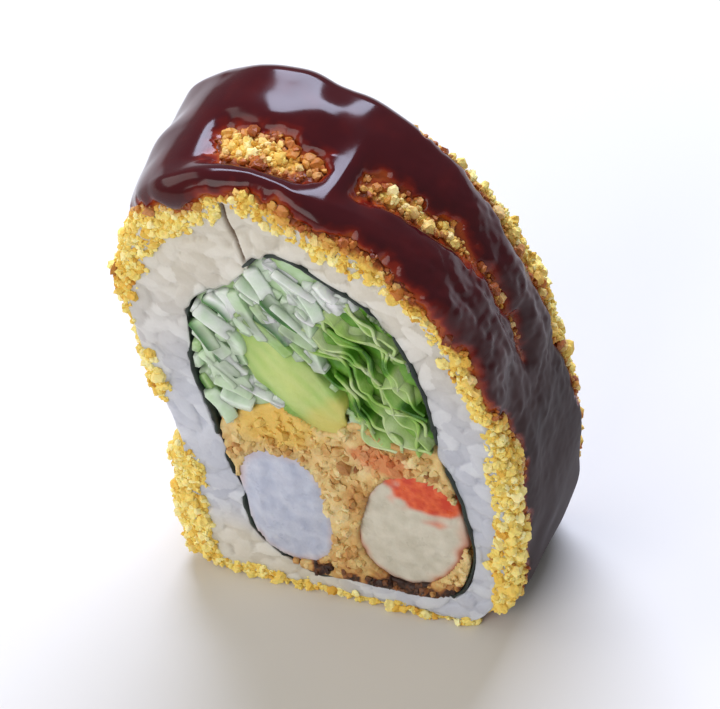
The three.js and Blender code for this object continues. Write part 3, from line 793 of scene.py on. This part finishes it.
def crumb_places(random, count, radius):
    """Shares, reaches and sizes of crumbs, clear of sauce and bare spots."""
    share = random.uniform(size=count)
    reach = random.uniform(-FLAT - TURN_LENGTH - 3.6, FLAT + TURN_LENGTH + 3.6, count)
    size = random.uniform(*radius, count)
    fringe = coat_width(share) + skin_noise(share, reach, (0.6, 1.6, 12)) + random.normal(0, 0.35, count)
    keep = ragged_sauce(share, reach) < 0.05 + random.normal(0, 0.12, count)
    keep &= (inside_bare_spot(share, reach) < 0.1) & (beyond_edge(reach) < fringe)
    return share[keep], reach[keep], size[keep]


def crumb_piece(name, count, radius, seed, subdivisions, lift, uneven):
    random = np.random.default_rng(seed)
    share, reach, size = crumb_places(random, count, radius)
    height = coat_top(share, reach) + size * lift * (1 - 0.6 * np.sin(edge_turn(reach)))
    places = skin(share, reach, height)
    places[:, 2] = np.maximum(places[:, 2], random.uniform(0.1, 0.35, len(size)))
    stretch = random.uniform(0.65, 1.3, (len(size), 3)) * size[:, None]
    shape = ball(subdivisions)
    corners = len(shape[0])
    vertices, faces = scattered(random, shape, places, stretch, uneven)
    pressed = random.uniform(0, 0.08, len(size)).repeat(corners)
    vertices[:, 2] = np.maximum(vertices[:, 2], pressed)
    tint = np.clip(random.beta(2.2, 3.4, len(size)) + 0.2 * noise(places, 5, 31), 0, 1)
    stain = stain_at(share, reach) * random.uniform(0.5, 1, len(size))
    values = {"tint": tint.repeat(corners), "stain": stain.repeat(corners)}
    add_piece(name, "rice", "rice", vertices, faces, looks["crumb"], values, smooth=False)


# --- Sauce

def sauce_relief(share, reach):
    """Ripples of the flow, and the crumbs that show through where the sauce runs thinner."""
    down = way_down(share)
    thin = smoothstep(0.1, 0.34, down) * smoothstep(0.75, 0.4, down)
    flow = 0.12 * noise(joined(along_loop(share) / 5, across(reach), 0), 0.9, 24)
    bumps = skin_noise(share, reach, (0.12, 1.2, 22), (0.1, 0.55, 23)) + flow
    return skin_noise(share, reach, (0.12, 3.6, 21)) + thin * bumps


def sauce():
    columns, step = 700, 0.2
    share = np.arange(columns) / columns
    end = FLAT + TURN_LENGTH + FACE_COAT
    reach = np.arange(-end, end, step)[:, None]
    inside = ragged_sauce(share, reach)
    thinned = 1 - THINNING[2] * smoothstep(*THINNING[:2], way_down(share))
    domed = 1 - np.exp(-np.maximum(smooth_sauce(share, reach), 0) / 0.9)
    rise = SAUCE_DEPTH * thinned * domed * smoothstep(-0.1, 0.6, inside)
    rise = rise + sauce_relief(share, reach) * smoothstep(-0.3, 0.8, inside)
    sunk = 1.6 * np.minimum(inside, 0)
    height = (rise + lump_height(share, reach)) * (1 - 0.45 * np.sin(edge_turn(reach))) + sunk
    top = skin(share, reach, height)
    bottom = skin(share, reach, np.minimum(height, 0) - 0.7)
    for layer, foot in ((top, SAUCE_FOOT), (bottom, SAUCE_FOOT + 0.5)):
        layer[..., 2] = np.maximum(layer[..., 2], foot)
    keep = inside > -0.35
    cells = keep[:-1] | keep[1:]
    vertices, faces, used = shell(top, bottom, cells | np.roll(cells, -1, 1))
    film = smoothstep(0, 1.1, inside) * (0.5 + 0.5 * thinned)
    # Mask of the lower right flank, where the sauce is darkened to near-black (partly thicker sauce, partly
    # painted shade) and made rougher.
    flank_sauce_and_shade = 0.85 * smoothstep(0.25, 0.55, way_down(share)) * smoothstep(0, 0.8, inside)
    values = {"film": film.reshape(-1)[used], "flank_sauce_and_shade": flank_sauce_and_shade.reshape(-1)[used]}
    add_piece("sauce", "rice", "rice", vertices, faces, sauce_look(), values)


# --- Nori

def nori():
    """The sheet: a flat closed section of rows, run along the loop and closed at its two ends."""
    columns, half_rows = 380, 22
    share = np.linspace(NORI_OPENING[1] - 0.004, 1 + NORI_OPENING[0] + 0.004, columns)
    depth = np.linspace(-1, 1, half_rows)
    value = np.concatenate([depth, depth[::-1]])[:, None]
    side = np.repeat([1, -1], half_rows)[:, None]
    point = at_depth(nori_loop.at(share), value * HALF)
    thick = NORI_THICKNESS / 2 * (0.6 + 0.35 * noise(point, 1.3, 43)) * (1 - 0.35 * np.abs(value) ** 30)
    flat = nori_loop.offset(share, side * thick + layered(point, (0.12, 2.4, 41), (0.09, 0.8, 42)))
    ragged = 1 - 0.06 * nori_hidden(share) + 0.014 * noise(point, 0.6, 45)
    grid = at_depth(flat, point[..., 1] * ragged)
    count = len(grid)
    faces = [grid_faces(count, columns, wrap_rows=True)]
    row = np.arange(half_rows - 1)
    for column, flip in ((0, 1), (columns - 1, -1)):
        quads = joined(row, row + 1, count - 2 - row, count - 1 - row) * columns + column
        faces.append(quads[:, ::flip])
    add_piece("nori_sheet", "nori", "nori", grid.reshape(-1, 3), np.concatenate(faces), looks["nori"])


# --- Fillings

def node_piece(node, name, slot, voxel, relax, grow, relief, values, look):
    """A CAD node as a fine mesh, with relief along its normals."""
    vertices, faces, normals = remeshed(node, voxel, relax)
    height = grow * (1 - facing(normals)) + relief(vertices, normals)
    raised = held_inside(vertices + normals * height[:, None])
    add_piece(name, slot, node, raised, faces, look, values(vertices, normals))
    return raised, faces, normals


def held_inside(vertices):
    """The same vertices, with those that cross the nori moved back in."""
    share = np.linspace(0, 1, 300, endpoint=False)
    wall = nori_loop.offset(share, -NORI_THICKNESS / 2)
    inward = -nori_loop.normal(share)
    moved = vertices.copy()
    for part in np.array_split(np.arange(len(vertices)), len(vertices) // 4000 + 1):
        flat = vertices[part][:, [0, 2]]
        nearest = np.argmin(((flat[:, None] - wall) ** 2).sum(-1), 1)
        beyond = ((wall[nearest] - flat) * inward[nearest]).sum(-1)
        moved[np.ix_(part, (0, 2))] = flat + inward[nearest] * np.maximum(beyond, 0)[:, None]
    return moved


def wall_distance(flat):
    """Distance of XZ points to the nori's middle, negative outside it."""
    away = np.linalg.norm(flat[..., None, :] - nori_loop.points[::6], axis=-1).min(-1)
    return np.where(nori_loop.holds(flat), away, -away)


def prawn(node, shape, look, cap_at, rim_strength):
    def relief(points, normals):
        x, z = block_local(shape, points)
        fibres = noise(joined(x * 1.6, points[:, 1] * 0.4, z * 0.6), 0.9, 51)
        return 0.1 * fibres + 0.16 * noise(points, 3, 52)

    def values(points, normals):
        share = block_share(shape, points) + 0.06 * noise(points, 1.4, 53)
        x, z = block_local(shape, points)
        reach = np.hypot((x - cap_at[0]) / cap_at[2], (z - cap_at[1]) / cap_at[3])
        cap = smoothstep(1.2, 0.75, reach + 0.3 * noise(points, 1.2, 54))
        rim = smoothstep(0.78, 1.0, share) * (0.75 + 0.5 * noise(points, 2.5, 55))
        return {"rim": np.clip(rim_strength * rim, 0, 1), "cap": cap}

    node_piece(node, node + "_flesh", "prawn", 0.3, 9, 0.22, relief, values, look)


def avocado():
    def relief(points, normals):
        ragged = layered(points, (0.75, 3.2, 64), (0.3, 1.4, 65))
        cut = layered(points, (0.14, 2.2, 61), (0.07, 0.8, 62)) - 0.3
        face = facing(normals)
        return ragged * (1 - face) + cut * face

    def values(points, normals):
        x, z = block_local(AVOCADO, points)
        lines = noise(joined(x, points[:, 1] * 0.3, z * 0.22), 0.8, 66)
        share = block_share(AVOCADO, points) + 0.1 * noise(points, 1.5, 63)
        ripe = smoothstep(-2.5, -6.5, z + 1.5 * noise(points, 2.2, 67))
        return {"share": np.clip(share, 0, 1), "ripe": 0.7 * ripe,
                "streak": np.clip(0.5 + 0.6 * lines, 0, 1)}

    node_piece("avocado", "avocado_wedge", "avocado", 0.3, 3, 0.15, relief, values, avocado_look())


def blot(points, places, radius):
    """1 near any of the places in the cut face and 0 away from them."""
    flat = points[:, [0, 2]]
    near = np.min([np.hypot(*(flat - place).T) for place in places], axis=0)
    return smoothstep(radius * 1.3, radius * 0.5, near + 0.35 * radius * noise(points, radius, 78))


def patch_share(points, patch):
    """1 inside an uneven oval in the cut face and 0 outside it."""
    reach = np.hypot((points[:, 0] - patch[0]) / patch[2], (points[:, 2] - patch[1]) / patch[3])
    return smoothstep(1.25, 0.7, reach + 0.35 * noise(points, 1.5, 73))


def batter_values(points, normals):
    toasted = 0.42 + layered(points, (0.22, 2.2, 71), (0.1, 0.8, 72))
    low = 0.14 * smoothstep(6.5, 3.5, points[:, 2]) + 0.22 * patch_share(points, BROWNED)
    seam = smoothstep(1.14, 1.02, block_share(PRAWN_RIGHT, points)) * smoothstep(9, 4, points[:, 0])
    tint = toasted + low + 0.2 * seam + 0.9 * blot(points, BURNT_BITS, 0.8)
    return {"tint": np.clip(tint, 0, 1), "yolk": 0.8 * patch_share(points, YOLK),
            "blush": 0.75 * patch_share(points, BLUSH)}


def batter():
    def relief(points, normals):
        crests = 0.45 * (0.4 - np.abs(noise(points, 1.0, 75)))
        crags = layered(points, (0.5, 2.2, 74), (0.2, 0.5, 76)) + crests
        return facing(normals) * (crags - 0.25) + 0.05

    raised, faces, normals = node_piece("batter", "batter_body", "batter", 0.3, 2, 0.42, relief,
                                        batter_values, looks["batter"])
    random = np.random.default_rng(77)
    places, directions = surface_places(random, raised, faces[:, :3], normals, 3800)
    places = places[np.abs(directions[:, 1]) > 0.6]
    size = random.uniform(0.2, 0.7, len(places)) * random.uniform(0.6, 1.2, len(places))
    stretch = random.uniform(0.6, 1.3, (len(size), 3)) * size[:, None]
    shape = ball(1)
    corners = len(shape[0])
    vertices, triangles = scattered(random, shape, places, stretch, (0.7, 1.25))
    values = {key: numbers.repeat(corners) for key, numbers in batter_values(places, None).items()}
    uneven = random.normal(0, 0.13, len(size)).repeat(corners)
    values["tint"] = np.clip(values["tint"] + uneven, 0, 1)
    add_piece("batter_crumbs", "batter", None, held_inside(vertices), triangles, looks["batter"], values,
              smooth=False)


def leaf_sheet(random, middle, reach):
    """One crumpled leaf layer as a grid of (along, through, off) points."""
    q = np.linspace(*reach, max(12, int((reach[1] - reach[0]) / 0.24)))[None]
    y = np.sin(np.linspace(-1, 1, 28) * math.pi / 2)[:, None]
    place = joined(q, 5 * y, middle)
    seed = int(random.integers(10000))
    crumple = layered(place, (0.75, 2.4, seed), (0.4, 1.1, seed + 1))
    fold = 2.6 * np.abs(y) ** 5 * noise(place, 3.0, seed + 2)
    through = y * HALF * (1.01 + 0.03 * noise(place, 1.3, seed + 3))
    return joined(q + 0.4 * noise(place, 1.6, seed + 4), through, middle + crumple + fold)


def solid_sheet(grid, thickness):
    """A thin closed solid round a grid of points."""
    normal = np.cross(np.gradient(grid, axis=1), np.gradient(grid, axis=0))
    normal *= thickness / 2 / np.linalg.norm(normal, axis=-1, keepdims=True)
    rows, columns = grid.shape[:2]
    count = rows * columns
    quads = grid_faces(rows, columns)
    number = np.arange(count).reshape(rows, columns)
    border = np.concatenate([number[0], number[1:, -1], number[-1, -2::-1], number[-2:0:-1, 0]])
    after = np.roll(border, -1)
    walls = joined(border, border + count, after + count, after)
    faces = np.concatenate([quads, quads[:, ::-1] + count, walls])
    return np.concatenate([grid + normal, grid - normal]).reshape(-1, 3), faces


def leaf_tint(points, layer):
    """0 where the leaf is deep green and 1 where it is pale."""
    shade = 0.66 + layer + 0.2 * noise(points, 2.2, 85)
    return np.clip(shade - 0.5 * blot(points, DEEP_GREENS, 1.5), 0, 1)


def lettuce():
    random = np.random.default_rng(81)
    slant = math.radians(LEAF_SLANT)
    direction = np.array([math.cos(slant), math.sin(slant)])
    upward = np.array([-direction[1], direction[0]])
    centre = np.array([GREENS["x"] * WIDTH / 2, GREENS["z"] * HEIGHT])
    sheets, tints = [], []
    for middle in np.arange(-8, 8.1, 0.95):
        q = np.linspace(-12, 12, 240)
        flat = centre + q[:, None] * direction + middle * upward
        points = at_depth(flat)
        held = (block_share(GREENS, points) < 1.04) & (block_share(AVOCADO, points) > 0.86)
        held &= wall_distance(flat) > 0.5
        if held.sum() < 12:
            continue
        grid = leaf_sheet(random, middle, (q[held].min(), q[held].max()))
        flat = centre + grid[..., :1] * direction + grid[..., 2:] * upward
        vertices, quads = solid_sheet(at_depth(flat, grid[..., 1]), 0.3)
        sheets.append((held_inside(vertices), quads))
        tints.append(leaf_tint(vertices, random.normal(0, 0.12)))
    add_piece("lettuce_leaves", "lettuce", "lettuce", *merged(sheets), looks["lettuce"],
              {"tint": np.concatenate(tints)})
    node_core("lettuce", "lettuce_core", 0.45, looks["lettuce"], 0.3, 0.6)


def node_core(node, name, voxel, look, tint, recess):
    """A CAD node's fine copy whose cut ends stay back behind the pieces over them."""
    vertices, faces, normals = remeshed(node, voxel, 4)
    end = smoothstep(HALF - 2, HALF - 0.2, np.abs(vertices[:, 1]))
    vertices[:, 1] -= np.sign(vertices[:, 1]) * end * (recess + 0.25 * noise(vertices, 1.6, 83))
    vertices += normals * (0.3 * (1 - facing(normals)))[:, None]
    tint = np.clip(tint + 0.25 * noise(vertices, 1.5, 84), 0, 1)
    add_piece(name, node, None, vertices, faces, look, {"tint": tint, "skin": 0 * tint})


def bar_section():
    """A square of half width 1 with rounded corners, as 16 points."""
    turn = np.radians([0, 30, 60, 90])
    corner = 0.7 + 0.3 * joined(np.cos(turn), np.sin(turn))
    quarters = [corner]
    for _ in range(3):
        x, y = quarters[-1].T
        quarters.append(joined(-y, x))
    return np.concatenate(quarters)


def baton(random, ends, width, peel, roll):
    """One shred as a bent square bar from end to end, with its numbers for the peel."""
    t = np.array([0, 0.04, 0.2, 0.4, 0.6, 0.8, 0.96, 1])[:, None]
    size = np.array([0.8, 1, 1, 1, 1, 1, 1, 0.8])
    axis = (ends[1] - ends[0]) / np.linalg.norm(ends[1] - ends[0])
    level = np.cross(axis, (0.1, 1, 0.1) if abs(axis[1]) < 0.9 else (1, 0.1, 0.1))
    level /= np.linalg.norm(level)
    upright = np.cross(axis, level)
    side = math.cos(roll) * level + math.sin(roll) * upright
    other = math.cos(roll) * upright - math.sin(roll) * level
    bend = random.uniform(-0.35, 0.35) * width * np.sin(math.pi * t)
    line = ends[0] * (1 - t) + ends[1] * t + level * bend
    section = bar_section() * random.uniform(0.92, 1.06, (16, 1)) * (1, random.uniform(0.6, 1))
    offset = section[:, :1] * side + section[:, 1:] * other
    ring = line[:, None] + offset[None] * (width / 2 * size)[:, None, None]
    steps, around = len(t), len(section)
    vertices = np.concatenate([ring.reshape(-1, 3), [line[0], line[-1]]])
    quads = grid_faces(steps, around, wrap_columns=True)
    corner = np.arange(around)
    after = (corner + 1) % around
    top = (steps - 1) * around
    low = joined(corner, steps * around, after)
    high = joined(top + after, steps * around + 1, top + corner)
    faces = np.concatenate([quads[:, [0, 1, 2]], quads[:, [0, 2, 3]], low, high])
    peeled = np.tile(np.where(section[:, 0] < -0.5, peel, 0), steps)
    return vertices, faces, np.concatenate([peeled, [0, 0]])


def shred_room(flat, margin):
    """Whether all these places in the cut face belong to the shreds."""
    limits = ((AVOCADO, 0.9), (GREENS, 0.94), (BATTER, 1.0))
    free = all(block_share(shape, at_depth(flat)).min() > limit for shape, limit in limits)
    return free and wall_distance(flat).min() > margin


def cucumber():
    random = np.random.default_rng(91)
    made = []
    for x, z in itertools.product(np.arange(-14, 7, 2.0), np.arange(20, 50, 2.0)):
        place = np.array([x, z]) + random.uniform(-0.5, 0.5, 2)
        if shred_room(place[None], 0.45):
            lean = random.uniform(-0.6, 0.6, 2)
            reach = HALF - random.uniform(0, 0.7, 2)
            ends = at_depth(place + np.outer((-1, 1), lean), reach * (-1, 1))
            made.append(baton(random, ends, random.uniform(1.5, 2.2), 0, random.uniform(0, 1.5)))
    for side in (-1, 1):
        made += face_shreds(random, side)
    tints = []
    for points, _, _ in made:
        middle = points.mean(0)
        # Shreds are paler towards the top: partly their pale flesh, partly a painted highlight.
        pale_flesh_and_highlight = 0.5 + 0.32 * smoothstep(34, 43, middle[2]) - 0.15 * smoothstep(-9, -2, middle[0])
        tints.append(np.full(len(points), np.clip(pale_flesh_and_highlight + random.normal(0, 0.16), 0, 1)))
    vertices, faces = merged([shred[:2] for shred in made])
    values = {"tint": np.concatenate(tints), "skin": np.concatenate([shred[2] for shred in made])}
    add_piece("cucumber_shreds", "cucumber", "cucumber", held_inside(vertices), faces, looks["cucumber"],
              values)
    node_core("cucumber", "cucumber_core", 0.45, looks["cucumber"], 0.35, 0.9)


def face_shreds(random, side):
    """Strips that lie over each other along a cut face, slanting down to the right."""
    made = []
    for x, z in itertools.product(np.arange(-14, 7, 1.9), np.arange(20, 50, 1.9)):
        middle = np.array([x, z]) + random.uniform(-0.9, 0.9, 2)
        angle = math.radians(random.normal(SHRED_SLANT, 18))
        direction = np.array([math.cos(angle), math.sin(angle)])
        width, reach = random.uniform(1.0, 1.8), random.uniform(1.5, 3.4)
        while reach > 0.8 and not shred_room(middle + np.outer((-reach, 0, reach), direction), 0.6):
            reach -= 0.3
        if reach > 0.8:
            y = HALF + 0.1 - random.uniform(0, 0.5) - random.uniform(0, 0.4, 2)
            ends = at_depth(middle + np.outer((-reach, reach), direction), side * y)
            near = min(math.hypot(*(middle - place)) for place in PEELS) < 1.2
            peel = 1.0 if near or random.uniform() < 0.08 else 0.0
            made.append(baton(random, ends, width, peel, random.normal(0, 0.5)))
    return made


# --- Floor, light and camera

def add_floor():
    mesh = bpy.data.meshes.new("floor")
    size = 3.0
    corners = [(-size, -size, 0), (size, -size, 0), (size, size, 0), (-size, size, 0)]
    mesh.from_pydata(corners, [], [(0, 1, 2, 3)])
    mesh.materials.append(floor_look())
    floor = bpy.data.objects.new("floor", mesh)
    floor.location.z = -0.00005
    bpy.context.scene.collection.objects.link(floor)


def add_area(name, place, size, energy, colour):
    light = bpy.data.lights.new(name, "AREA")
    light.shape = "RECTANGLE"
    light.size, light.size_y = size
    light.energy = energy
    light.color = colour
    lamp = bpy.data.objects.new(name, light)
    lamp.location = place
    lamp.rotation_euler = (Vector((0, 0, 0.03)) - Vector(place)).to_track_quat("-Z", "Y").to_euler()
    bpy.context.scene.collection.objects.link(lamp)


def add_light():
    add_area("window", (-0.084, 0.406, 0.53), (0.54, 0.28), 7.2, (0.7, 0.77, 1.0))
    add_area("front", (-0.12, -0.62, 0.42), (0.6, 0.5), 3.0, (1.0, 0.98, 0.95))
    add_area("side", (-0.6, -0.1, 0.35), (0.4, 0.4), 1.0, (1.0, 0.97, 0.93))
    world = bpy.data.worlds.new("world")
    world.use_nodes = True
    background = world.node_tree.nodes["Background"]
    background.inputs["Color"].default_value = (0.9, 0.93, 1.0, 1)
    background.inputs["Strength"].default_value = 0.3
    bpy.context.scene.world = world


def add_camera():
    azimuth, elevation, roll = (math.radians(v) for v in (32.5, 46.8, -12))
    target = Vector((0.0005, 0, 0.0262))
    distance = 0.9
    away = Vector((math.sin(azimuth) * math.cos(elevation), -math.cos(azimuth) * math.cos(elevation),
                   math.sin(elevation)))
    data = bpy.data.cameras.new("camera")
    data.sensor_width = 36
    data.lens = 480
    camera = bpy.data.objects.new("camera", data)
    camera.location = target + away * distance
    camera.rotation_mode = "QUATERNION"
    camera.rotation_quaternion = away.to_track_quat("Z", "Y") @ Quaternion((0, 0, 1), roll)
    bpy.context.scene.collection.objects.link(camera)
    bpy.context.scene.camera = camera


# --- The slice

looks = {"crumb": crumb_look(), "nori": nori_look(), "batter": batter_look(),
         "lettuce": lettuce_look(), "cucumber": cucumber_look()}
pearly = prawn_look([(172, 178, 198), (198, 202, 216)])
creamy = prawn_look([(194, 187, 168), (214, 207, 190)])

add_camera()
add_light()
add_floor()
rice_core()
coat_base()
crumb_piece("crumbs_coarse", 2600, (0.35, 0.68), 101, 2, 0.2, (0.7, 1.2))
crumb_piece("crumbs_fine", 17500, (0.16, 0.38), 102, 1, 0.35, (0.7, 1.3))
sauce()
nori()
prawn("prawn_left", PRAWN_LEFT, pearly, (0, 12, 1, 1), 0.3)
prawn("prawn_right", PRAWN_RIGHT, creamy, (0.3, 6.6, 4.2, 3.4), 1)
avocado()
batter()
lettuce()
cucumber()

bpy.context.scene.view_settings.view_transform = "Standard"
